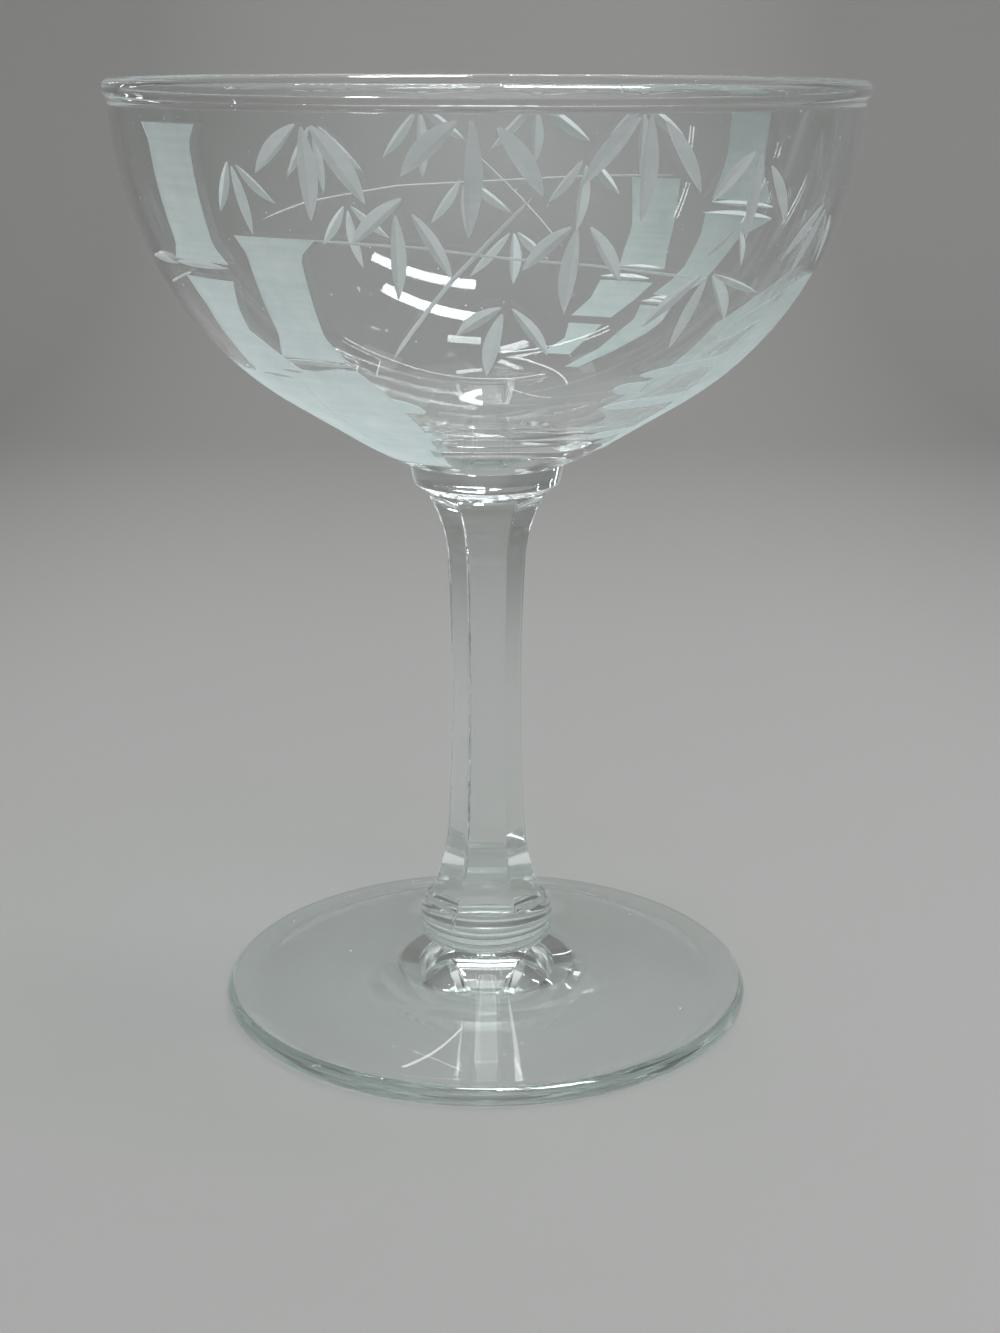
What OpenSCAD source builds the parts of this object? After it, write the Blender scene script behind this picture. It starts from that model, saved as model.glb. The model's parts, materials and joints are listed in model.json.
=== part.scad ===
// Coupe glass: a mould-blown bowl on a pressed six-sided stem, on a round spun foot.
// The foot stands on z = 0, and the axis of the glass is the Z axis.

/* [Bowl] */
// Outer radius of the bead round the rim
rim_r = 47.6; // [44:0.2:52]
// Height of the bead
bead_h = 2.4; // [1.9:0.1:3.2]
// Thickness of the bead, from its inner side to its outer side
bead_t = 1.9; // [1.6:0.1:2.4]
// Thickness of the bowl's wall
wall_t = 1.4; // [1:0.1:1.6]
// Outer radius of curvature of the wall's upper part
upper_curve_r = 47.9; // [42:0.5:54]
// Outer radius of curvature of the wall's lower part
lower_curve_r = 42.9; // [38:0.5:48]
// Outer radius of curvature of the heel, next to the stem
heel_curve_r = 41; // [30:1:50]
// Steepness of the wall under the bead, from level
brim_deg = 89.3; // [86:0.1:90]
// Steepness where the upper curve meets the lower one
shoulder_deg = 60; // [54:1:66]
// Steepness of the straight stretch below the lower curve
slope_deg = 31.5; // [28:0.5:35]
// Steepness where the heel meets the stem
heel_deg = 21; // [15:1:26]

/* [Stem] */
// Length of the stem, from the foot to the bowl
stem_l = 66.75; // [56:0.5:84]
// Distance across the flats at the waist
waist_flats = 8.2; // [6.8:0.1:8.6]
// Distance across the flats where the flares begin
neck_flats = 9.1; // [8.8:0.1:10]
// Height of the upper flare
upper_flare_h = 9.5; // [6:0.5:12]
// Radius of the upper flare
upper_flare_r = 22; // [18:1:34]
// Height of the lower flare
lower_flare_h = 9; // [6:0.5:12]
// Radius of the lower flare
lower_flare_r = 40; // [28:1:60]
// Height of the toe, the last turn of the flare above the knop
toe_h = 2.3; // [1.4:0.1:3.2]
// Radius of the toe
toe_r = 10; // [7:0.5:16]

/* [Collar under the bowl] */
// Radius of the collar's top edge
collar_r = 10.2; // [9.6:0.1:11.6]
// Height of the collar
collar_h = 3.55; // [2.8:0.05:5]
// Height of the bevel on the collar's underside
collar_bevel_h = 1; // [0.5:0.1:1.6]
// How far the bevel reaches in
collar_bevel_in = 1.5; // [0.8:0.1:1.8]
// How much narrower the collar's side is at its lower edge
collar_taper = 0.5; // [0.2:0.1:0.8]

/* [Knop on the foot] */
// Largest radius of the knop
knop_r = 9.25; // [8.75:0.05:10.5]
// Height of the knop
knop_h = 5.4; // [4.2:0.1:6.6]
// Height of the knop's widest place above the foot
knop_belly_h = 2.3; // [1.6:0.1:2.8]
// Radius of the knop's rounded side
knop_side_r = 5.5; // [4.8:0.1:8]

/* [Foot] */
// Radius of the foot
foot_r = 36.3; // [31:0.1:42]
// Thickness of the foot's rounded edge
foot_edge_t = 2.8; // [2.2:0.1:3.6]
// Height of the foot under the knop
foot_h = 8.8; // [7:0.1:11]
// Radius of the hollow sweep of the foot's upper side
foot_sweep_r = 120; // [90:5:300]
// Height of the hollow under the foot
kick_h = 3.2; // [1.6:0.1:4.2]
// Width of the flat ring that the glass stands on
rest_ring_w = 2.6; // [1.4:0.1:4]

/* [Hidden] */
clear_glass = [0.83, 0.91, 0.89, 0.45];
thick_glass = [0.72, 0.85, 0.83, 0.6];
sides = 6;
// Facets of a full turn, and the straight steps in each long arc of an outline
turn_fn = 180;
steps = 12;

// A point on an arc, the height of an arc over its chord, and an arc's points from end to end
function on_arc(centre, r, deg) = centre + r * [cos(deg), sin(deg)];
function arc_rise(r, half_chord) = r - sqrt(r * r - half_chord * half_chord);
function arc(centre, r, from_deg, to_deg) =
    [for (step = [0 : steps]) on_arc(centre, r, from_deg + (to_deg - from_deg) * step / steps)];
// The same points without the first, for an arc that goes on from another
function arc_on(centre, r, from_deg, to_deg) =
    [for (step = [1 : steps]) on_arc(centre, r, from_deg + (to_deg - from_deg) * step / steps)];

// The bowl's outline runs down from the brim. The arcs touch without a corner,
// so each centre follows from the steepness where two stretches meet.
function outward(steep_deg) = steep_deg - 90;
wall_r = rim_r - bead_t + wall_t * sin(brim_deg);
brim = [wall_r, 0];
upper_centre = on_arc(brim, -upper_curve_r, outward(brim_deg));
shoulder = on_arc(upper_centre, upper_curve_r, outward(shoulder_deg));
lower_centre = on_arc(shoulder, -lower_curve_r, outward(shoulder_deg));
slope_top = on_arc(lower_centre, lower_curve_r, outward(slope_deg));
heel_top_r = collar_r + heel_curve_r * (sin(slope_deg) - sin(heel_deg));
heel_top = [heel_top_r, slope_top.y - (slope_top.x - heel_top_r) * tan(slope_deg)];
heel_centre = on_arc(heel_top, -heel_curve_r, outward(slope_deg));
seat = on_arc(heel_centre, heel_curve_r, outward(heel_deg));

// The inside follows the same centres one wall further in, down to where the
// straight stretch begins outside. From there one arc, centred on the axis, makes the bottom.
inner_brim = on_arc(upper_centre, upper_curve_r - wall_t, outward(brim_deg));
inner_shoulder = on_arc(upper_centre, upper_curve_r - wall_t, outward(shoulder_deg));
well = on_arc(lower_centre, lower_curve_r - wall_t, outward(slope_deg));
well_r = well.x / sin(slope_deg);
well_centre = [0, well.y + well_r * cos(slope_deg)];
well_floor = well_centre - [0, well_r];

// Heights of the joints and of the rim
bowl_z = foot_h + stem_l;
brim_z = bowl_z - seat.y;
bead_side_r = bead_t / 2;
bead_above_brim = bead_h / 2;
rim_z = brim_z + bead_above_brim;

// The stem's flanks, as half the distance across the flats against the height above the foot
toe_z = knop_h;
lower_flare_z = toe_z + toe_h;
shaft_z = lower_flare_z + lower_flare_h;
upper_flare_z = stem_l - collar_h - upper_flare_h;
collar_z = stem_l - collar_h;
shaft_half_h = (upper_flare_z - shaft_z) / 2;
waist_in = (neck_flats - waist_flats) / 2;
shaft_r = (shaft_half_h * shaft_half_h + waist_in * waist_in) / (2 * waist_in);
shaft_lean = asin(shaft_half_h / shaft_r);
shaft_centre = [waist_flats / 2 + shaft_r, shaft_z + shaft_half_h];
upper_lean = asin(sin(shaft_lean) + upper_flare_h / upper_flare_r);
lower_lean = asin(sin(shaft_lean) + lower_flare_h / lower_flare_r);
toe_lean = asin(sin(lower_lean) + toe_h / toe_r);
neck_top = [neck_flats / 2, upper_flare_z];
neck_bottom = [neck_flats / 2, shaft_z];
upper_flare_centre = on_arc(neck_top, -upper_flare_r, 180 - shaft_lean);
upper_flare_end = on_arc(upper_flare_centre, upper_flare_r, 180 - upper_lean);
lower_flare_centre = on_arc(neck_bottom, -lower_flare_r, 180 + shaft_lean);
lower_flare_end = on_arc(lower_flare_centre, lower_flare_r, 180 + lower_lean);
toe_centre = on_arc(lower_flare_end, -toe_r, 180 + lower_lean);
toe_end = on_arc(toe_centre, toe_r, 180 + toe_lean);
shaft_root_h = collar_bevel_h; // how far the shaft reaches into the collar and the knop

// The knop's side is an arc, and the foot's seat is as wide as the knop's lower end
knop_seat_r = knop_r - arc_rise(knop_side_r, knop_belly_h);

// The foot's edge is a full round, and its underside a shallow dome
edge_round_r = foot_edge_t / 2;
edge_centre_r = foot_r - edge_round_r;
kick_r = edge_centre_r - rest_ring_w;
kick_dome_r = (kick_r * kick_r + kick_h * kick_h) / (2 * kick_h);
kick_half_deg = acos(kick_r / kick_dome_r);
sweep_run = [edge_centre_r - knop_seat_r, foot_edge_t - foot_h];
sweep_half_deg = asin(norm(sweep_run) / 2 / foot_sweep_r);
sweep_mid_deg = atan2(sweep_run.y, sweep_run.x) - 90;
sweep_centre = on_arc([knop_seat_r, foot_h], -foot_sweep_r, sweep_mid_deg - sweep_half_deg);

// The bowl's outer shape, filled, with the brim at height zero. Outlines run from the bottom up.
module bowl_outside() {
    polygon(concat(
        [[0, seat.y]],
        arc(heel_centre, heel_curve_r, outward(heel_deg), outward(slope_deg)),
        arc(lower_centre, lower_curve_r, outward(slope_deg), outward(shoulder_deg)),
        arc_on(upper_centre, upper_curve_r, outward(shoulder_deg), outward(brim_deg)),
        [[0, 0]]
    ));
}

module bowl_inside() {
    polygon(concat(
        arc(well_centre, well_r, outward(0), outward(slope_deg)),
        arc_on(lower_centre, lower_curve_r - wall_t, outward(slope_deg), outward(shoulder_deg)),
        arc_on(upper_centre, upper_curve_r - wall_t, outward(shoulder_deg), outward(brim_deg)),
        [[inner_brim.x, bead_h], [0, bead_h]]
    ));
}

// The rounded bead that the rim is melted to
module rim_bead() {
    round_offset = bead_above_brim - bead_side_r;
    translate([rim_r - bead_side_r, 0]) {
        translate([0, round_offset]) circle(r = bead_side_r, $fn = turn_fn);
        translate([0, -round_offset]) circle(r = bead_side_r, $fn = turn_fn);
        square([bead_t, 2 * round_offset], center = true);
    }
}

module bowl() {
    color(clear_glass)
        translate([0, 0, brim_z])
        rotate_extrude($fn = turn_fn) {
            difference() {
                bowl_outside();
                bowl_inside();
            }
            rim_bead();
        }
}

// The six-sided shaft. Its outline is turned in six steps at the ridges,
// which lie further out than the middles of the flanks.
module shaft() {
    root_top = upper_flare_end + [0, shaft_root_h];
    root_bottom = toe_end - [0, shaft_root_h];
    flank = concat(
        [[0, root_bottom.y], root_bottom],
        arc(toe_centre, toe_r, 180 + toe_lean, 180 + lower_lean),
        arc_on(lower_flare_centre, lower_flare_r, 180 + lower_lean, 180 + shaft_lean),
        arc_on(shaft_centre, shaft_r, 180 + shaft_lean, 180 - shaft_lean),
        arc_on(upper_flare_centre, upper_flare_r, 180 - shaft_lean, 180 - upper_lean),
        [root_top, [0, root_top.y]]
    );
    rotate_extrude($fn = sides) polygon([for (point = flank) [point.x / cos(180 / sides), point.y]]);
}

// The round collar that the bowl is fused to
module collar() {
    side_r = collar_r - collar_taper;
    rotate_extrude($fn = turn_fn) polygon([
        [0, collar_z], [side_r - collar_bevel_in, collar_z],
        [side_r, collar_z + collar_bevel_h], [collar_r, stem_l], [0, stem_l]
    ]);
}

module knop() {
    side_centre_r = knop_r - knop_side_r;
    rotate_extrude($fn = turn_fn) {
        square([side_centre_r, knop_h]);
        intersection() {
            translate([side_centre_r, knop_belly_h]) circle(r = knop_side_r, $fn = turn_fn);
            square([knop_r, knop_h]);
        }
    }
}

module stem() {
    color(thick_glass) translate([0, 0, foot_h]) {
        shaft();
        collar();
        knop();
    }
}

module foot() {
    color(clear_glass) rotate_extrude($fn = turn_fn) {
        polygon(concat(
            arc([0, kick_h - kick_dome_r], kick_dome_r, 90, kick_half_deg),
            [[edge_centre_r, 0]],
            arc(sweep_centre, foot_sweep_r,
                sweep_mid_deg + sweep_half_deg, sweep_mid_deg - sweep_half_deg),
            [[0, foot_h]]
        ));
        translate([edge_centre_r, edge_round_r]) circle(r = edge_round_r, $fn = turn_fn);
    }
}

bowl();
stem();
foot();
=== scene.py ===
# A coupe glass: a mould-blown bowl with grey-cut bamboo round it, a pressed six-sided stem and a spun foot.
# Sizes are in millimetres, and each finished piece is brought to metres as it is put in the scene.
import bisect
import json
import math
import bmesh
import bpy
from mathutils import Matrix, Vector

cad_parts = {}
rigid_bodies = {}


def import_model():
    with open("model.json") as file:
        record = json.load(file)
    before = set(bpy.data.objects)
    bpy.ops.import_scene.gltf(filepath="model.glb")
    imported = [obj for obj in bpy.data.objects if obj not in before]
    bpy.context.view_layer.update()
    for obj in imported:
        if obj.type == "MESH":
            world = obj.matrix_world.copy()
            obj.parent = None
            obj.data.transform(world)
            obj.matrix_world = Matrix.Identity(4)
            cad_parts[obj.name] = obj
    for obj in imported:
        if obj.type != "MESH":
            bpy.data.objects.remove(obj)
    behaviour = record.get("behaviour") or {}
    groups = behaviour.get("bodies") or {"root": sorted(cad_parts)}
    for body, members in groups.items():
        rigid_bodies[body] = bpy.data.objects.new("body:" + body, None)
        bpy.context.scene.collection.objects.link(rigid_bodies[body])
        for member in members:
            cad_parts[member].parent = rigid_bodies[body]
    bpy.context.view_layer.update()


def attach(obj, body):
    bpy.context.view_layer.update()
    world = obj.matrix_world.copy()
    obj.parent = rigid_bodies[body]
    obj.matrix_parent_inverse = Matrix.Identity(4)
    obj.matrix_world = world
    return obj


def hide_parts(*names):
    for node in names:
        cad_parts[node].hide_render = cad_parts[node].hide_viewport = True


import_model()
scene = bpy.context.scene
scene.view_settings.view_transform = "Standard"
scene.cycles.max_bounces = 96
scene.cycles.transmission_bounces = 96
scene.cycles.glossy_bounces = 96
scene.cycles.transparent_max_bounces = 96
scene.cycles.caustics_reflective = False
scene.cycles.caustics_refractive = False


# The camera stands just above the rim, 27 cm in front of the glass, and looks down on it by about 16 degrees.
# Its lens takes in the whole height of the frame.
frame_height_px = 1333
focal_px = 2081.77
camera_place = (0, -0.27054, 0.12738)
look_down, look_aside, roll = 0.28779, 0.00674, 0.00292
ahead = Vector((math.sin(look_aside) * math.cos(look_down), math.cos(look_aside) * math.cos(look_down),
                -math.sin(look_down)))
level = Vector((math.cos(look_aside), -math.sin(look_aside), 0))
upward = level.cross(ahead)
across = level * math.cos(roll) + upward * math.sin(roll)
upright = upward * math.cos(roll) - level * math.sin(roll)
camera_data = bpy.data.cameras.new("camera")
camera_data.sensor_fit = "VERTICAL"
camera_data.sensor_height = 36
camera_data.lens = camera_data.sensor_height * focal_px / frame_height_px
camera_data.clip_start = 0.01
camera = bpy.data.objects.new("camera", camera_data)
facing_glass = Matrix((across, upright, -ahead)).transposed().to_4x4()
camera.matrix_world = Matrix.Translation(camera_place) @ facing_glass
scene.collection.objects.link(camera)
scene.camera = camera


# The bowl is blown in a mould from thin clear glass with a breath of green in it. Its rim is melted to a
# bead, its heel is thick, and it is fused to the collar of the stem while both are hot.
rim_radius = 47.6
bead_height, bead_thickness = 2.4, 1.9
wall = 1.4
upper_curve, lower_curve, heel_curve = 47.9, 42.9, 41
brim_slope, shoulder_slope, lower_slope, heel_slope = 89.3, 60, 31.5, 21
collar_radius, collar_top = 10.2, 75.55
joint_gap = 0.005
bowl_sides = 256


def on(centre, radius, slope):
    """The point of a circle where its underside has this slope."""
    turn = math.radians(slope)
    return centre[0] + radius * math.sin(turn), centre[1] - radius * math.cos(turn)


def centre_of(point, radius, slope):
    return on(point, -radius, slope)


brim_radius = rim_radius - bead_thickness + wall * math.sin(math.radians(brim_slope))
upper_centre = centre_of((brim_radius, 0), upper_curve, brim_slope)
shoulder = on(upper_centre, upper_curve, shoulder_slope)
lower_centre = centre_of(shoulder, lower_curve, shoulder_slope)
slope_top = on(lower_centre, lower_curve, lower_slope)
heel_width = heel_curve * (math.sin(math.radians(lower_slope)) - math.sin(math.radians(heel_slope)))
heel_top = (collar_radius + heel_width,
            slope_top[1] - (slope_top[0] - collar_radius - heel_width) * math.tan(math.radians(lower_slope)))
heel_centre = centre_of(heel_top, heel_curve, lower_slope)
brim_height = collar_top - on(heel_centre, heel_curve, heel_slope)[1]
upper_centre, lower_centre, heel_centre, heel_top = (
    (radius, height + brim_height) for radius, height in (upper_centre, lower_centre, heel_centre, heel_top))
well_edge = on(lower_centre, lower_curve - wall, lower_slope)
well_curve = well_edge[0] / math.sin(math.radians(lower_slope))
well_centre = centre_of(well_edge, well_curve, lower_slope)
bead_round = bead_thickness / 2
bead_centre = rim_radius - bead_round
bead_half = bead_height / 2 - bead_round


class Template:
    """The outline of a turned piece, drawn from point to point by radius and height, and then turned."""

    def __init__(self, radius, height):
        self.bm = bmesh.new()
        self.tip = self.bm.verts.new((radius, 0, height))

    def straight(self, radius, height, steps=1):
        start, goal = self.tip.co.copy(), Vector((radius, 0, height))
        for step in range(steps):
            self.tip = bmesh.ops.extrude_vert_indiv(self.bm, verts=[self.tip])["verts"][0]
            self.tip.co = start.lerp(goal, (step + 1) / steps)

    def curve(self, centre, degrees, steps):
        """Goes on round a centre, upwards and in for more than nothing degrees."""
        made = bmesh.ops.spin(self.bm, geom=[self.tip], cent=(centre[0], 0, centre[1]), axis=(0, -1, 0),
                              dvec=(0, 0, 0), angle=math.radians(degrees), steps=steps)
        self.tip = [part for part in made["geom_last"] if isinstance(part, bmesh.types.BMVert)][0]

    def line(self):
        return [(point.co.x, point.co.z) for point in self.bm.verts]

    def turned(self, sides):
        bmesh.ops.spin(self.bm, geom=self.bm.verts[:] + self.bm.edges[:], cent=(0, 0, 0), axis=(0, 0, 1),
                       dvec=(0, 0, 0), angle=math.tau, steps=sides, use_merge=True)
        bmesh.ops.remove_doubles(self.bm, verts=self.bm.verts[:], dist=0.002)
        bmesh.ops.recalc_face_normals(self.bm, faces=self.bm.faces[:])
        return self.bm


def piece(name, bm, material, crisp=16):
    """Brings a mesh from millimetres to metres and into the scene. Edges sharper than crisp stay sharp."""
    for edge in bm.edges:
        edge.smooth = edge.calc_face_angle(0) < math.radians(crisp)
    bmesh.ops.scale(bm, verts=bm.verts[:], vec=(0.001, 0.001, 0.001))
    mesh = bpy.data.meshes.new(name)
    bm.to_mesh(mesh)
    bm.free()
    mesh.materials.append(material)
    mesh.shade_smooth()
    made = bpy.data.objects.new(name, mesh)
    scene.collection.objects.link(made)
    return made


class Flow:
    """A value on its way through a material's nodes. Sums written with it add the Math nodes."""

    def __init__(self, tree, socket=None):
        self.tree, self.socket = tree, socket

    def add(self, kind, settings=None, sockets=None, out=0):
        made = self.tree.nodes.new(kind)
        for name, value in (settings or {}).items():
            if name == "stops":
                for place, (at, colour) in enumerate(value):
                    stop = made.color_ramp.elements[place] if place < 2 else made.color_ramp.elements.new(at)
                    stop.position, stop.color = at, (*colour, 1)
            else:
                setattr(made, name, value)
        for name, value in (sockets or {}).items():
            if isinstance(value, Flow):
                self.tree.links.new(value.socket, made.inputs[name])
            else:
                made.inputs[name].default_value = value
        return Flow(self.tree, made.outputs[out])

    def other(self, out):
        return Flow(self.tree, self.socket.node.outputs[out])

    def math(self, operation, first, second=0.0):
        return self.add("ShaderNodeMath", {"operation": operation}, {0: first, 1: second})

    def __add__(self, more):
        return self.math("ADD", self, more)

    def __sub__(self, less):
        return self.math("SUBTRACT", self, less)

    def __rsub__(self, whole):
        return self.math("SUBTRACT", whole, self)

    def __mul__(self, times):
        return self.math("MULTIPLY", self, times)

    def __lt__(self, limit):
        return self.math("LESS_THAN", self, limit)

    def __gt__(self, limit):
        return self.math("GREATER_THAN", self, limit)

    __radd__, __rmul__ = __add__, __mul__


def new_finish(name):
    """An empty material: its nodes as a Flow, and the node that takes its surface."""
    material = bpy.data.materials.new(name)
    material.use_nodes = True
    material.node_tree.nodes.clear()
    end = material.node_tree.nodes.new("ShaderNodeOutputMaterial")
    return material, Flow(material.node_tree), end


def through_for_lamps(flow, surface, passed):
    """Lamps and bounced light pass the surface and lose a little, so that glass throws a pale shadow."""
    path = flow.add("ShaderNodeLightPath", out="Is Shadow Ray")
    lets_by = flow.math("MAXIMUM", path, path.other("Is Diffuse Ray"))
    clear = flow.add("ShaderNodeBsdfTransparent", sockets={"Color": (*passed, 1)})
    return flow.add("ShaderNodeMixShader", sockets={0: lets_by, 1: surface, 2: clear})


def clear_glass(name, tint, wave_length, wave_depth, specks, fused_at, passed=0.975, deep=True):
    """Glass straight from the fire: long soft waves, a few seeds, specks of dust and thin smears of handling.
    Below and above the two heights of fused_at it has grown into its neighbour, and shows no surface."""
    material, flow, end = new_finish(name)
    place = flow.add("ShaderNodeTexCoord", out="Object")
    waves = flow.add("ShaderNodeTexNoise", sockets={
        "Vector": place, "Scale": 1000 / wave_length, "Detail": 1.5, "Roughness": 0.4})
    smears = flow.add("ShaderNodeTexNoise", sockets={
        "Vector": place, "Scale": 120, "Detail": 4, "Roughness": 0.6})
    drawn_out = flow.add("ShaderNodeMapping", sockets={"Vector": place, "Scale": (1.0, 1.0, 0.07)})
    wiped = flow.add("ShaderNodeTexNoise", sockets={"Vector": drawn_out, "Scale": 900, "Detail": 2})
    seeds = flow.add("ShaderNodeTexVoronoi", sockets={"Vector": place, "Scale": 420}, out="Distance")
    scattered = seeds.other("Color")
    chosen = flow.add("ShaderNodeSeparateColor", sockets={"Color": scattered})
    speck = (seeds < 0.06) * (chosen > 1 - specks)
    bump = flow.add("ShaderNodeBump", sockets={
        "Strength": 1.0, "Distance": wave_depth / 1000, "Height": waves})
    dulled = (smears > 0.62) * 0.02 + (wiped > 0.66) * 0.04 + speck * 0.45
    surface = flow.add("ShaderNodeBsdfPrincipled", sockets={
        "Base Color": (*tint, 1), "Roughness": dulled, "IOR": 1.52, "Transmission Weight": 1.0,
        "Normal": bump})
    shown = through_for_lamps(flow, surface, tuple(passed * part for part in tint))
    height = flow.add("ShaderNodeSeparateXYZ", sockets={"Vector": place}, out="Z")
    joined = (height < fused_at[0] / 1000) + (height > fused_at[1] / 1000)
    open_way = flow.add("ShaderNodeBsdfTransparent")
    shown = flow.add("ShaderNodeMixShader", sockets={0: joined, 1: shown, 2: open_way})
    flow.tree.links.new(shown.socket, end.inputs["Surface"])
    if deep:
        # The iron in thick glass takes a little of the light on its way through, red most.
        body = flow.add("ShaderNodeVolumeAbsorption", sockets={"Color": (0.45, 0.62, 0.56, 1), "Density": 8})
        flow.tree.links.new(body.socket, end.inputs["Volume"])
    return material


top_of_all = 200
bowl_glass = clear_glass("bowl_glass", (0.978, 0.996, 0.991), wave_length=16, wave_depth=0.012, specks=0.3,
                         fused_at=(collar_top + 2 * joint_gap, top_of_all), deep=False)

template = Template(0, well_centre[1] - well_curve)
template.curve(well_centre, lower_slope, 22)
template.curve(lower_centre, shoulder_slope - lower_slope, 22)
template.curve(upper_centre, brim_slope - shoulder_slope, 24)
template.straight(rim_radius - bead_thickness, brim_height + bead_half)
template.curve((bead_centre, brim_height + bead_half), -180, 18)
template.straight(rim_radius, brim_height - bead_half)
template.curve((bead_centre, brim_height - bead_half), -62, 7)
outside_from = len(template.line())
wall_top_slope = 88
template.straight(*on(upper_centre, upper_curve, wall_top_slope))
template.curve(upper_centre, shoulder_slope - wall_top_slope, 28)
template.curve(lower_centre, lower_slope - shoulder_slope, 24)
template.straight(*heel_top, steps=9)
template.curve(heel_centre, heel_slope - lower_slope, 8)
outside_line = template.line()[outside_from:][::-1]
template.straight(0, collar_top, steps=4)
bowl_bm = template.turned(bowl_sides)
for point in bowl_bm.verts:
    point.co.z = max(point.co.z, collar_top + joint_gap)
bowl = piece("blown_bowl", bowl_bm, bowl_glass)


# The bamboo is ground into the outside of the bowl with small stone wheels and left grey. Canes and ground
# are shallow bands, leaves are cuts with one steep side and one wide side, and twigs are thin lines.
class Wall:
    """The outer face of the bowl as the cutter finds a place on it: degrees from the front, and height."""

    def __init__(self, line):
        self.radii = [radius for radius, height in line]
        self.heights = [height for radius, height in line]
        self.runs = [0.0]
        for (r0, h0), (r1, h1) in zip(line, line[1:]):
            self.runs.append(self.runs[-1] + math.hypot(r1 - r0, h1 - h0))

    def read(self, known, wanted, value):
        i = min(max(bisect.bisect(known, value), 1), len(known) - 1)
        share = (value - known[i - 1]) / (known[i] - known[i - 1])
        return wanted[i - 1] + share * (wanted[i] - wanted[i - 1])

    def run(self, height):
        """How far up the curve of the wall a height is."""
        return self.read(self.heights, self.runs, height)

    def radius(self, run):
        return self.read(self.runs, self.radii, run)

    def facing(self, run):
        """Which way the wall faces: its share outwards and its share upwards."""
        over, under = run + feeler, run - feeler
        along_r = self.radius(over) - self.radius(under)
        along_h = self.read(self.runs, self.heights, over) - self.read(self.runs, self.heights, under)
        size = math.hypot(along_r, along_h)
        return along_h / size, -along_r / size

    def place(self, degrees, run, out):
        """A point this far out from the wall, or below its surface where out is less than nothing."""
        outwards, upwards = self.facing(run)
        radius = self.radius(run) + out * outwards
        height = self.read(self.runs, self.heights, run) + out * upwards
        turn = math.radians(degrees)
        return Vector((radius * math.sin(turn), -radius * math.cos(turn), height))


feeler = 0.6
outer_wall = Wall(outside_line)
clear_above = 0.5
wheels = bpy.data.collections.new("wheels")
scene.collection.children.link(wheels)


def grind(columns, rows, finish, spot):
    """What one cut takes away: a sheet laid on the wall and closed above it. For a place t along the sheet
    and s across it, spot gives degrees, run and how far out."""
    bm = bmesh.new()
    bmesh.ops.create_grid(bm, x_segments=columns, y_segments=rows, size=1)
    lid = bmesh.ops.extrude_face_region(bm, geom=bm.faces[:], use_keep_orig=True)["geom"]
    lid = {part for part in lid if isinstance(part, bmesh.types.BMVert)}
    for point in bm.verts:
        degrees, run, out = spot((point.co.x + 1) / 2, point.co.y)
        point.co = outer_wall.place(degrees, run, clear_above if point in lid else out)
    bmesh.ops.recalc_face_normals(bm, faces=bm.faces[:])
    cut = piece("cut", bm, finish)
    scene.collection.objects.unlink(cut)
    wheels.objects.link(cut)


narrow_face = 0.32
leaf_start, leaf_reach = 0.045, 0.94
beyond = 1.3


def leaf(root, tip, width, lean=1, depth=0.38, finish=None):
    """One leaf from its stalk to its tip. Lean says on which side of it the steep, narrow face is."""
    run0, run1 = outer_wall.run(root[1]), outer_wall.run(tip[1])
    mean_radius = outer_wall.radius((run0 + run1) / 2)
    aside = math.radians(tip[0] - root[0]) * mean_radius
    length = math.hypot(aside, run1 - run0)

    def spot(t, s):
        t = leaf_start + leaf_reach * t
        fullness = 4 * t * (1 - t)
        half = width * fullness * (narrow_face if s * lean > 0 else 1 - narrow_face)
        side = beyond * half * s
        run = run0 + (run1 - run0) * t + aside / length * side
        degrees = root[0] + (tip[0] - root[0]) * t
        degrees -= math.degrees((run1 - run0) / length * side / outer_wall.radius(run))
        sink = depth * fullness
        return degrees, run, sink * (beyond - 1) if s else -sink

    grind(14, 2, finish or leaf_grey, spot)


def twig(points, width, depth=0.08):
    """A thin line along points of degrees and height."""
    path = [(degrees, outer_wall.run(height)) for degrees, height in points]
    steps = len(path) - 1

    def spot(t, s):
        i = min(int(t * steps), steps - 1)
        (d0, r0), (d1, r1) = path[i], path[i + 1]
        degrees, run = d0 + (d1 - d0) * (t * steps - i), r0 + (r1 - r0) * (t * steps - i)
        aside = math.radians(d1 - d0) * outer_wall.radius(run)
        length = math.hypot(aside, r1 - r0)
        taper = min(1, 12 * t + 0.1, 12 * (1 - t) + 0.1)
        side = beyond * width / 2 * taper * s
        degrees -= math.degrees((r1 - r0) / length * side / outer_wall.radius(run))
        return degrees, run + aside / length * side, ((beyond - 1) * depth if s else -depth) * taper

    grind(10 * steps, 2, leaf_grey, spot)


cane_depth = 0.1
ground_share = 0.8


def cane(*stations):
    """One length of cane between two nodes: left and right edge in degrees, and height, from its top down."""
    last = len(stations) - 1

    def spot(t, s):
        t = t - math.sin(math.tau * t) / (1.25 * math.tau)
        i = min(int(t * last), last - 1)
        (l0, r0, h0), (l1, r1, h1) = stations[i], stations[i + 1]
        share = t * last - i
        left, right, height = l0 + (l1 - l0) * share, r0 + (r1 - r0) * share, h0 + (h1 - h0) * share
        return (left + right) / 2 + (right - left) / 2 * s, outer_wall.run(height), -cane_depth

    grind(8 * last, 6, cane_grey, spot)


def node_ring(left, right, height, drop=0.0):
    """The short curved cut that closes a length of cane."""
    leaf((left, height), (right, height - drop), 1.0, -1, 0.3, node_grey_painted_shine)


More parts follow.
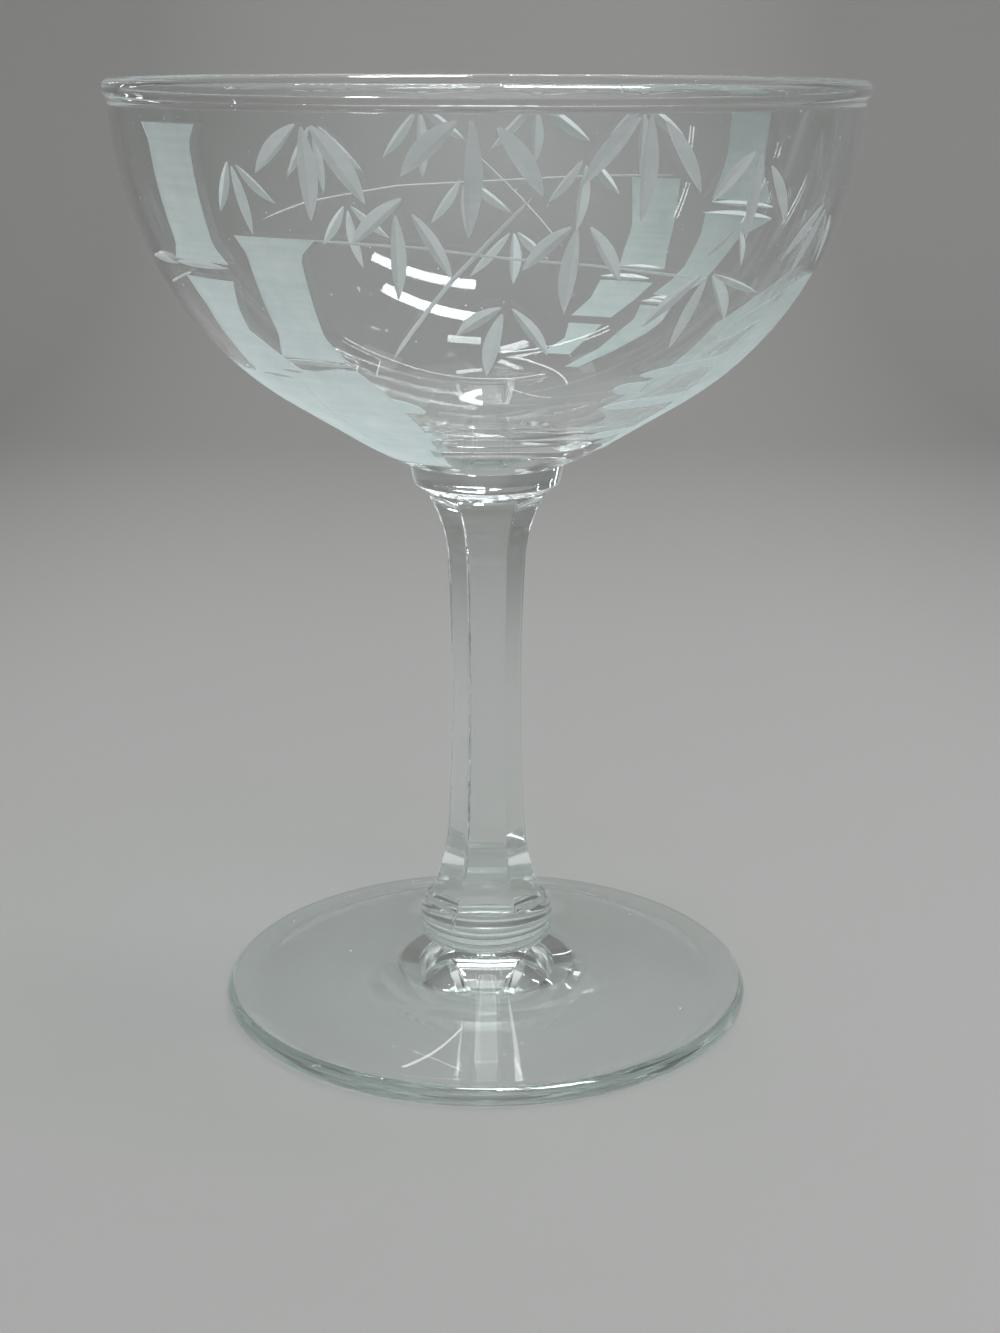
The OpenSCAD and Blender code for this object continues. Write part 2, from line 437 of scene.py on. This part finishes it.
def ground(edge, bottom):
    """The earth that the canes grow from, under an edge of degrees and height."""
    degrees_at, heights = [point[0] for point in edge], [point[1] for point in edge]
    low = outer_wall.run(bottom)

    def spot(t, s):
        degrees = degrees_at[0] + (degrees_at[-1] - degrees_at[0]) * t
        high = outer_wall.run(outer_wall.read(degrees_at, heights, degrees))
        return degrees, low + (high - low) * (s + 1) / 2, -cane_depth * ground_share

    grind(60, 12, cane_grey, spot)


def finger(start, end, height, half, drop=0.0):
    """A round-ended stroke of the wheel that runs out of the ground."""
    run0, run1 = outer_wall.run(height), outer_wall.run(height - drop)

    def spot(t, s):
        round_end = math.sqrt(max(0.02, 1 - max(0, (t - 0.55) / 0.45) ** 2))
        return (start + (end - start) * t, run0 + (run1 - run0) * t + half * round_end * s, -cane_depth)

    grind(18, 4, cane_grey, spot)


def grey_glass(name, pale, deep, grain, lines, passed, glow_share=0.5):
    """Glass ground matt: whitish, a little see-through, with the fine marks of the wheel."""
    material, flow, end = new_finish(name)
    place = flow.add("ShaderNodeTexCoord", out="Object")
    clouds = flow.add("ShaderNodeTexNoise", sockets={
        "Vector": place, "Scale": 260, "Detail": 3, "Roughness": 0.6})
    grains = flow.add("ShaderNodeTexNoise", sockets={
        "Vector": place, "Scale": grain, "Detail": 2, "Roughness": 0.7})
    drawn_out = flow.add("ShaderNodeMapping", sockets={"Vector": place, "Scale": (0.04, 0.04, 1.0)})
    marks = flow.add("ShaderNodeTexNoise", sockets={
        "Vector": drawn_out, "Scale": lines, "Detail": 3, "Roughness": 0.6})
    share = clouds * 0.9 + marks * 0.7 + grains * 0.25 - 0.42
    colour = flow.add("ShaderNodeValToRGB", {"stops": [(0.25, deep), (0.85, pale)]}, {"Fac": share})
    bump = flow.add("ShaderNodeBump", sockets={"Strength": 0.35, "Distance": 0.00004,
                                               "Height": grains * 0.6 + marks * 0.5})
    face = flow.add("ShaderNodeBsdfPrincipled", sockets={
        "Base Color": colour, "Roughness": 0.42 + clouds * 0.3, "IOR": 1.52, "Transmission Weight": 0.12,
        "Normal": bump})
    glow = flow.add("ShaderNodeBsdfTranslucent", sockets={"Color": (*pale, 1), "Normal": bump})
    surface = flow.add("ShaderNodeMixShader", sockets={0: glow_share, 1: face, 2: glow})
    shown = through_for_lamps(flow, surface, passed)
    flow.tree.links.new(shown.socket, end.inputs["Surface"])
    return material


grey_passed = (0.72, 0.76, 0.75)
cane_grey = grey_glass("cane_grey", (0.90, 0.985, 0.975), (0.58, 0.70, 0.69), 2600, 1500, grey_passed)
# Node rings: ground grey glass made paler and less see-through than the canes, as a painted highlight for the
# shine of their polished cut.
node_grey_painted_shine = grey_glass("node_grey_painted_shine", (0.98, 1.0, 1.0), (0.80, 0.86, 0.86), 2600, 1500, grey_passed, 0.2)
leaf_grey = grey_glass("leaf_grey", (0.90, 0.935, 0.935), (0.70, 0.76, 0.77), 3200, 900, grey_passed)

# Canes and ground stand at the left in front, and at the right from the side round to the back.
cane((-57, -43.5, 119.5), (-55.5, -45, 117.5), (-55.5, -45, 106), (-58, -43, 104))
cane((-57, -43.5, 102), (-55.5, -45.5, 98.5), (-56, -46, 96), (-56.5, -40.5, 92.5), (-57, -35, 89.5))
cane((-39.5, -25, 107.5), (-38, -28, 105.5), (-38.5, -28.5, 96), (-41.5, -26, 93))
cane((-41.5, -26, 91.5), (-42, -26.5, 89), (-46, -23, 80.5))
cane((131.5, 121.5, 120.5), (131, 121.5, 114), (131.5, 120, 110.5), (132.5, 115.5, 107))
cane((133, 113, 105), (132.5, 121.5, 102), (133.5, 124.5, 97.5), (135.5, 126.5, 95.5), (138.5, 131, 93.5))
cane((153.5, 140, 95), (154.5, 143, 92.5), (158, 147, 90))
cane((158, 148.5, 89), (157.5, 151, 87), (162.5, 153.5, 85))
cane((151.5, 141, 109.5), (149.5, 140, 102.5), (150, 139.5, 99), (150, 138.5, 97))
cane((140.5, 131, 92), (140, 131, 90), (142, 133, 88.5), (145, 139, 86), (152.5, 147.5, 83.5))
node_ring(-59, -43, 103.5)
node_ring(-71, -58, 103.5, 0.2)
node_ring(-43.5, -25, 92.5)
node_ring(-46, -38, 91)
node_ring(-56, -42, 90)
node_ring(113.5, 132.5, 106.5)
node_ring(112.5, 134, 105)
node_ring(138, 150.5, 97)
node_ring(141, 154, 95.5)
node_ring(130.5, 139, 93)
node_ring(132, 141, 92.5)
ground([(-72, 91), (-62, 90), (-45, 90.5), (-30, 92), (-25, 92), (-21, 89), (-18, 84.5)], 77.2)
ground([(52.5, 93.5), (57, 97), (60, 100.5), (68, 101.5), (80, 101), (92, 99), (102, 95), (110, 91)], 78.6)
finger(-24, -14, 88, 1.3, 1.2)
finger(-22, -15, 82.5, 1.4)
finger(-22, -18, 79.5, 1.0)
finger(58, 45, 98.5, 1.7, 3.2)
finger(55, 31, 92, 1.0, 0.8)
finger(34.5, 26.5, 89.5, 1.1)
finger(54, 27.5, 87, 1.25)
finger(60, 33, 82, 1.3)

# Leaves on the near and the far side: where the stalk is, where the tip is, the width, and the steep side.
near_leaves = [
    ((-25.5, 120), (-33, 114.5), 2.3, 1), ((-25, 120), (-25, 109.5), 2.9, -1),
    ((-24, 120), (-16.5, 111.5), 3.0, -1),
    ((-3.5, 120.5), (-11.5, 114.5), 2.8, 1), ((-2, 121), (-2.5, 108), 2.5, -1),
    ((1, 120), (7.5, 112.5), 2.7, -1),
    ((-11, 112.5), (-19.5, 107), 2.2, 1), ((-12.5, 111), (-13.5, 101), 2.2, -1),
    ((-10.5, 111), (-5, 103.5), 2.0, -1),
    ((2.5, 100.5), (-5, 97), 2.2, 1), ((2.5, 100), (0, 92), 2.3, 1),
    ((3.5, 100.5), (10.5, 94.5), 1.9, -1),
    ((20.5, 121), (12.5, 113.5), 2.5, 1), ((21.5, 121.5), (21.5, 109.5), 2.5, -1),
    ((23.5, 120.5), (30.5, 112.5), 2.2, -1),
    ((12, 109.5), (5, 104.5), 2.3, 1), ((12.5, 109.5), (12, 99.5), 2.5, 1),
    ((14, 109.5), (20, 103), 2.1, -1),
    ((39.5, 117), (32.5, 111.5), 2.2, 1), ((40.5, 117), (41, 107), 2.3, 1),
    ((42.5, 115.5), (49.5, 108.5), 2.0, -1),
    ((34.5, 103.5), (26, 97.5), 2.2, 1), ((35.5, 103.5), (34, 94.5), 2.2, 1),
    ((36, 103.5), (44, 97.5), 2.2, -1), ((36, 103.5), (49.5, 100.5), 1.2, 1),
    ((61, 110.5), (52, 104), 2.2, 1), ((62, 110), (57.5, 101.5), 2.5, 1),
    ((65, 109), (70, 102.5), 2.2, -1),
]
far_leaves = [
    ((234, 112.5), (240, 105.5), 2.3, 1), ((233.5, 112), (233, 102), 2.5, 1),
    ((232.5, 112), (224.5, 106), 1.9, -1),
    ((214, 117), (220.5, 109.5), 1.7, 1), ((213.5, 116.5), (213, 107), 1.8, 1),
    ((212.5, 117), (204, 110), 2.0, -1),
    ((193, 119), (200, 112), 1.9, 1), ((192.5, 119), (192.5, 109), 2.2, 1),
    ((192, 119.5), (184, 114.5), 2.0, -1),
    ((209, 105.5), (216, 100), 1.9, 1), ((208.5, 105), (208, 96.5), 2.0, -1),
    ((208, 105.5), (200.5, 100.5), 1.7, -1),
    ((185, 109), (191.5, 102.5), 1.8, 1), ((184.5, 108.5), (184, 100.5), 2.4, 1),
    ((184, 109), (175, 104), 1.8, -1),
    ((171.5, 120), (179.5, 113), 1.7, 1), ((171, 119.5), (171, 111), 2.2, 1),
    ((170, 120), (160.5, 114.5), 2.3, -1),
    ((175, 101.5), (184, 95), 1.7, 1), ((174.5, 101.5), (174, 94), 2.1, 1),
    ((174, 101.5), (166.5, 97.5), 1.8, -1),
    ((161.5, 112), (168, 105.5), 1.8, 1), ((161, 111.5), (161.5, 101.5), 2.2, 1),
    ((160, 112), (153.5, 107), 2.0, -1),
    ((151, 120), (157, 115), 2.0, 1), ((150.5, 119.5), (150, 109.5), 2.2, 1),
    ((150, 120), (141, 115), 2.2, -1),
    ((122.5, 103.5), (116.5, 98.5), 1.4, 1), ((123, 103.5), (129.5, 98.5), 1.6, 1),
]
near_width_share, far_width_share = 0.8, 0.84
for stalk, tip, width, lean in near_leaves:
    leaf(stalk, tip, near_width_share * width, lean)
for stalk, tip, width, lean in far_leaves:
    leaf(stalk, tip, far_width_share * width, lean)
twig([(-26.5, 107.5), (-9.5, 107), (2, 106), (15.5, 105), (34, 103)], 0.34)
twig([(-67, 100.5), (-54.5, 102.5)], 0.3)
twig([(-16.5, 94), (-5, 103.5), (6, 112.5)], 0.5)
twig([(229, 104), (217.5, 106), (197.5, 108), (182, 108.5), (160.5, 109.5), (142.5, 110)], 0.28)
twig([(164, 99.5), (173, 106), (182, 112.5)], 0.28)

cutting = bowl.modifiers.new("cutting", "BOOLEAN")
cutting.operation = "DIFFERENCE"
cutting.operand_type = "COLLECTION"
cutting.collection = wheels
cutting.solver = "MANIFOLD"
cutting.material_mode = "TRANSFER"
blank = bowl.data
bowl.data = bpy.data.meshes.new_from_object(bowl.evaluated_get(bpy.context.evaluated_depsgraph_get()))
bowl.modifiers.clear()
bowl.data.name = "blown_bowl"
bpy.data.meshes.remove(blank)
for cut in list(wheels.objects):
    bpy.data.objects.remove(cut)
bpy.data.collections.remove(wheels)

# Each cut keeps its crisp edge, and the blown surface round it stays smooth.
crisp = math.radians(14)
bm = bmesh.new()
bm.from_mesh(bowl.data)
for edge in bm.edges:
    if len(edge.link_faces) == 2:
        one, two = edge.link_faces
        ground_edge = one.material_index != two.material_index
        keel = one.material_index > 0 and two.material_index > 0 and edge.calc_face_angle(0) > crisp
        edge.smooth = not (ground_edge or keel)
for face in bm.faces:
    face.smooth = True
bm.to_mesh(bowl.data)
bm.free()
# Beside a cut the blown surface is told which way the whole wall faces, so that no cut dents its shine.
on_wall = 0.1
ways = [corner.vector.copy() for corner in bowl.data.corner_normals]
for face in bowl.data.polygons:
    for corner in face.loop_indices:
        point = bowl.data.vertices[bowl.data.loops[corner].vertex_index].co * 1000
        radius, run = math.hypot(point.x, point.y), outer_wall.run(point.z)
        within = outer_wall.heights[1] < point.z < outer_wall.heights[-2]
        if within and face.material_index == 0 and abs(radius - outer_wall.radius(run)) < on_wall:
            outwards, upwards = outer_wall.facing(run)
            ways[corner] = Vector((outwards * point.x / radius, outwards * point.y / radius, upwards))
bowl.data.normals_split_custom_set(ways)
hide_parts("bowl")
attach(bowl, "root")


# The stem is pressed in a two-part mould, solid, with six sides that flare at both ends, a collar above and a
# round knop below. The fire has softened its ridges, and the mould's seam runs down two of them.
waist_flats, neck_flats = 8.2, 9.1
collar_bottom, collar_bevel_top = 72.0, 73.0
collar_lower_radius, collar_side_radius = 8.2, 9.7
foot_top = 8.8
knop_radius, knop_top, knop_belly, knop_round = 9.25, 14.2, 11.1, 5.5
toe_top, lower_flare_top, upper_flare_bottom = 16.5, 25.5, 62.5
toe_curve, lower_flare_curve, upper_flare_curve = 10, 40, 22
ridge_softness = 0.32
stem_sides = 240
seam_width, seam_height = 0.28, 0.16
seam_degrees = -30

half_shaft = (upper_flare_bottom - lower_flare_top) / 2
waist_in = (neck_flats - waist_flats) / 2
shaft_curve = (half_shaft ** 2 + waist_in ** 2) / (2 * waist_in)
shaft_lean = math.degrees(math.asin(half_shaft / shaft_curve))


def lean_after(lean, rise, curve):
    """How far a flank leans out after it has gone this much further along a hollow curve."""
    return math.degrees(math.asin(math.sin(math.radians(lean)) + rise / curve))


upper_lean = lean_after(shaft_lean, collar_bottom - upper_flare_bottom, upper_flare_curve)
lower_lean = lean_after(shaft_lean, lower_flare_top - toe_top, lower_flare_curve)
toe_lean = lean_after(lower_lean, toe_top - knop_top, toe_curve)


def hollow_centre(radius, height, curve, lean):
    """The centre of a hollow curve outside the flank. Lean counts from upright, up the flank."""
    turn = math.radians(lean)
    return radius + curve * math.cos(turn), height - curve * math.sin(turn)


lower_flare_centre = hollow_centre(neck_flats / 2, lower_flare_top, lower_flare_curve, -shaft_lean)
toe_start = (lower_flare_centre[0] - lower_flare_curve * math.cos(math.radians(lower_lean)), toe_top)
toe_centre = hollow_centre(*toe_start, toe_curve, -lower_lean)
toe_end = (toe_centre[0] - toe_curve * math.cos(math.radians(toe_lean)), knop_top)
shaft_centre = (waist_flats / 2 + shaft_curve, lower_flare_top + half_shaft)
upper_flare_centre = hollow_centre(neck_flats / 2, upper_flare_bottom, upper_flare_curve, shaft_lean)
knop_centre = (knop_radius - knop_round, knop_belly)
knop_down = math.degrees(math.asin((knop_belly - foot_top) / knop_round))
knop_up = math.degrees(math.asin((knop_top - knop_belly) / knop_round))
knop_seat = knop_centre[0] + knop_round * math.cos(math.radians(knop_down))
knop_shoulder = knop_centre[0] + knop_round * math.cos(math.radians(knop_up))

template = Template(0, foot_top)
template.straight(knop_seat, foot_top, steps=4)
template.curve(knop_centre, knop_down + knop_up, 16)
template.straight(*toe_end)
template.curve(toe_centre, lower_lean - toe_lean, 6)
template.curve(lower_flare_centre, shaft_lean - lower_lean, 12)
template.curve(shaft_centre, -2 * shaft_lean, 22)
template.curve(upper_flare_centre, shaft_lean - upper_lean, 14)
template.straight(collar_lower_radius + 0.25, collar_bottom + 0.02)
template.straight(collar_side_radius - 0.1, collar_bevel_top - 0.12, steps=2)
template.straight(collar_side_radius + 0.02, collar_bevel_top + 0.12)
template.straight(collar_radius, collar_top, steps=4)
template.straight(0, collar_top, steps=4)
stem_bm = template.turned(stem_sides)

for offset in (-seam_width, seam_width):
    aside = Vector((math.cos(math.radians(seam_degrees)), math.sin(math.radians(seam_degrees)), 0))
    bmesh.ops.bisect_plane(stem_bm, geom=stem_bm.verts[:] + stem_bm.edges[:] + stem_bm.faces[:], dist=0.0001,
                           plane_co=aside * offset, plane_no=aside)


def six_sided(turn, flat):
    """How far a soft-ridged hexagon reaches at a turn from the middle of a flank, by the flank's distance."""
    turn = abs((turn + 30) % 60 - 30)
    ridge = math.radians(30 - turn)
    soft = ridge_softness
    far = (flat - soft) / math.cos(math.radians(30))
    on_round = far * math.cos(ridge) + math.sqrt(max(0, soft ** 2 - (far * math.sin(ridge)) ** 2))
    on_flank = flat / math.cos(math.radians(turn))
    meets = math.atan2(soft * 0.5, far + soft * math.cos(math.radians(30)))
    return on_round if ridge < meets else on_flank


for point in stem_bm.verts:
    radius = math.hypot(point.co.x, point.co.y)
    if radius < 0.01:
        continue
    turn = math.degrees(math.atan2(point.co.x, -point.co.y))
    goal = radius
    if knop_top - 0.001 < point.co.z < collar_bottom + 0.001 and radius < knop_shoulder - 0.2:
        goal = six_sided(turn, radius)
    off_seam = abs(radius * math.sin(math.radians(turn - seam_degrees)))
    if off_seam < seam_width / 2 and foot_top + 0.3 < point.co.z < collar_top - 0.2:
        goal += seam_height
    point.co.x *= goal / radius
    point.co.y *= goal / radius
for point in stem_bm.verts:
    point.co.z = min(max(point.co.z, foot_top + joint_gap), collar_top - joint_gap)
stem_glass = clear_glass("stem_glass", (0.975, 0.993, 0.986), wave_length=11, wave_depth=0.05, specks=0.02,
                         fused_at=(foot_top + 2 * joint_gap, collar_top - 2 * joint_gap), passed=0.95)
stem = piece("pressed_stem", stem_bm, stem_glass, crisp=28)
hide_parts("stem")
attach(stem, "root")


# The foot is gathered and spun from clear glass: a hollow sweep on top, a full round edge, and below it a
# shallow dome inside the flat ring that it stands on.
foot_radius, foot_edge, kick_height, rest_ring = 36.3, 2.8, 3.2, 2.6
sweep_curve = 120
foot_sides = 256

edge_round = foot_edge / 2
edge_centre = foot_radius - edge_round
kick_radius = edge_centre - rest_ring
kick_curve = (kick_radius ** 2 + kick_height ** 2) / (2 * kick_height)
kick_half = math.degrees(math.asin(kick_radius / kick_curve))
sweep_run, sweep_fall = edge_centre - knop_seat, foot_top - foot_edge
sweep_half = math.degrees(math.asin(math.hypot(sweep_run, sweep_fall) / 2 / sweep_curve))
sweep_slope = math.degrees(math.atan2(sweep_fall, sweep_run))
sweep_centre = on((edge_centre, foot_edge), -sweep_curve, -(sweep_slope - sweep_half))

template = Template(0, kick_height)
template.curve((0, kick_height - kick_curve), -kick_half, 28)
template.straight(edge_centre, 0, steps=3)
template.curve((edge_centre, edge_round), 180, 20)
template.curve(sweep_centre, -2 * sweep_half, 34)
template.straight(0, foot_top, steps=4)
foot_bm = template.turned(foot_sides)
for point in foot_bm.verts:
    point.co.z = min(point.co.z, foot_top - joint_gap)
below_all = -1
foot_glass = clear_glass("foot_glass", (0.98, 0.995, 0.99), wave_length=14, wave_depth=0.03, specks=0.05,
                         fused_at=(below_all, foot_top - 2 * joint_gap), passed=0.92)
foot = piece("spun_foot", foot_bm, foot_glass)
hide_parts("foot")
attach(foot, "root")


# The glass stands on a plain pale paper sweep, which runs back and up behind it. A painted pool of light
# keeps the paper palest in the middle, and painted shade darkens it towards its back and its sides.
paper_gap = 0.00003
paper_side, paper_front, paper_flat, paper_bend, paper_top = 1.6, 1.2, 0.42, 0.26, 1.2
bm = bmesh.new()
near_edge = bm.verts.new((-paper_side, -paper_front, -paper_gap))
flat_end = bmesh.ops.extrude_vert_indiv(bm, verts=[near_edge])["verts"][0]
flat_end.co.y = paper_flat
bmesh.ops.spin(bm, geom=[flat_end], cent=(-paper_side, paper_flat, paper_bend), axis=(1, 0, 0),
               dvec=(0, 0, 0), angle=math.radians(90), steps=32)
top = max(bm.verts, key=lambda point: point.co.z)
bmesh.ops.extrude_vert_indiv(bm, verts=[top])["verts"][0].co.z = paper_top
across_paper = bmesh.ops.extrude_edge_only(bm, edges=bm.edges[:])["geom"]
bmesh.ops.translate(bm, verts=[part for part in across_paper if isinstance(part, bmesh.types.BMVert)],
                    vec=(2 * paper_side, 0, 0))
bmesh.ops.scale(bm, verts=bm.verts[:], vec=(1000, 1000, 1000))
paper, flow, end = new_finish("paper")
place = flow.add("ShaderNodeTexCoord", out="Object")
fibre = flow.add("ShaderNodeTexNoise", sockets={"Vector": place, "Scale": 900, "Detail": 3})
aside = flow.add("ShaderNodeSeparateXYZ", sockets={"Vector": place}, out="X")
# Painted shade: the paper is darkened towards the back and towards both sides, leaving a painted pool of
# light in the middle.
deep = flow.add("ShaderNodeMapRange", {"interpolation_type": "SMOOTHSTEP"},
                {"Value": aside.other("Y"), "From Min": 0.12, "From Max": 0.62, "To Min": 0.0,
                 "To Max": 0.75})
painted_shade_at_sides = flow.add("ShaderNodeMapRange", {"interpolation_type": "SMOOTHSTEP"},
                 {"Value": flow.math("ABSOLUTE", aside), "From Min": 0.06, "From Max": 0.30, "To Min": 1.0,
                  "To Max": 0.0})
paper_with_painted_shade = flow.add("ShaderNodeValToRGB", {"stops": [(0.0, (0.24, 0.233, 0.224)), (1.0, (0.415, 0.405, 0.39))]},
                {"Fac": painted_shade_at_sides - deep + fibre * 0.06})
surface = flow.add("ShaderNodeBsdfPrincipled", sockets={"Base Color": paper_with_painted_shade, "Roughness": 0.85})
paper.node_tree.links.new(surface.socket, end.inputs["Surface"])
piece("sweep", bm, paper)


# Plain soft studio light: a pale dome that is brightest in front, a soft box high behind, tubes overhead,
# a tall window of five panes behind, and narrow strips at the left that draw fine streaks on the bowl.
glass_middle = Vector((0, 0, 0.09))
daylight = (0.92, 0.97, 1.0)


def strip(name, start, end, width, power, lights=True, mirrored=True, colour=daylight):
    """A flat lamp from end to end that faces the glass. It can be kept off matt things or out of mirrors."""
    start, end = Vector(start), Vector(end)
    middle = (start + end) / 2
    along = (end - start).normalized()
    towards = glass_middle - middle
    towards = (towards - along * towards.dot(along)).normalized()
    light = bpy.data.lights.new(name, "AREA")
    light.shape, light.size, light.size_y = "RECTANGLE", (end - start).length, width
    light.energy, light.color = power, colour
    holder = bpy.data.objects.new(name, light)
    holder.matrix_world = Matrix.Translation(middle) @ Matrix(
        (along, -towards.cross(along), -towards)).transposed().to_4x4()
    holder.visible_camera = False
    holder.visible_diffuse = lights
    holder.visible_glossy = mirrored
    scene.collection.objects.link(holder)


def mirrored_at(degrees, height, away=0.77):
    """Where a lamp hangs that the inside of the bowl mirrors to the camera at this place on its wall."""
    run = outer_wall.run(height)
    outwards, upwards = outer_wall.facing(run)
    turn = math.radians(degrees)
    inwards = -Vector((outwards * math.sin(turn), -outwards * math.cos(turn), upwards))
    spot = outer_wall.place(degrees, run, -wall) / 1000
    return spot + (spot - Vector(camera_place)).normalized().reflect(inwards) * away


strip("soft_box", (-0.6, 0.95, 1.25), (0.6, 0.95, 1.25), 0.7, 3.0, mirrored=False, colour=(1, 1, 1))
strip("tube_one", (0.05, -0.25, 1.0), (0.60, -0.28, 1.0), 0.045, 3.0)
strip("tube_two", (0.03, 0.0, 1.0), (0.45, -0.08, 1.0), 0.05, 2.6)
strip("tube_one_shine", (0.05, -0.25, 0.99), (0.60, -0.28, 0.99), 0.045, 9.0, lights=False)
strip("tube_two_shine", (0.03, 0.0, 0.99), (0.45, -0.08, 0.99), 0.05, 8.0, lights=False)
strip("tube_three", (0.02, 0.19, 1.0), (0.13, 0.19, 1.0), 0.03, 0.5)
strip("tube_four", (-0.13, 0.23, 1.0), (-0.04, 0.28, 1.0), 0.03, 0.35)
strip("tube_five", (-0.48, 0.35, 1.1), (-0.05, 0.35, 1.1), 0.014, 1.6, lights=False)
strip("tube_six", (0.41, 0.48, 0.87), (-0.15, 0.55, 0.92), 0.005, 0.4, lights=False)
for number, (top, bottom, width, power) in enumerate([
        ((140, 117), (140, 112), 0.007, 0.04), ((139, 109), (140, 104), 0.007, 0.06),
        ((117, 121), (118, 113), 0.005, 0.03), ((116, 121), (117, 113), 0.005, 0.03),
        ((119, 110), (122, 104), 0.006, 0.03), ((112, 120), (113, 109), 0.005, 0.03),
        ((104, 111), (108, 103), 0.005, 0.02)]):
    strip("streak_%d" % number, mirrored_at(*top), mirrored_at(*bottom), width, power)
strip("window_slant", (-0.085, 0.60, 0.565), (-0.045, 0.60, 0.80), 0.004, 0.016, lights=False)
window_back, window_foot, window_head = 0.60, 0.56, 0.93
for name, low_x, high_x, width, power in [
        ("pane_one", -0.025, -0.070, 0.007, 0.028), ("pane_two", -0.014, -0.036, 0.012, 0.014),
        ("pane_three", 0.002, 0.004, 0.05, 0.10), ("pane_four", 0.017, 0.044, 0.010, 0.016),
        ("pane_five", 0.030, 0.078, 0.007, 0.030)]:
    strip(name, (low_x, window_back, window_foot), (high_x, window_back, window_head), width, power,
          lights=False)

world = bpy.data.worlds.new("dome")
world.use_nodes = True
dome = Flow(world.node_tree)
heading = dome.add("ShaderNodeTexCoord", out="Generated")
sides = dome.add("ShaderNodeSeparateXYZ", sockets={"Vector": heading}, out="Z")
overhead = dome.math("MAXIMUM", sides, 0.0)
in_front = dome.math("MAXIMUM", 0 - sides.other("Y"), 0.0)
all_round, more_in_front, more_overhead = 0.20, 0.8, 0.12
strength = all_round + in_front * in_front * more_in_front + overhead * more_overhead
world.node_tree.links.new(strength.socket, world.node_tree.nodes["Background"].inputs["Strength"])
world.node_tree.nodes["Background"].inputs["Color"].default_value = (1, 1, 1, 1)
scene.world = world
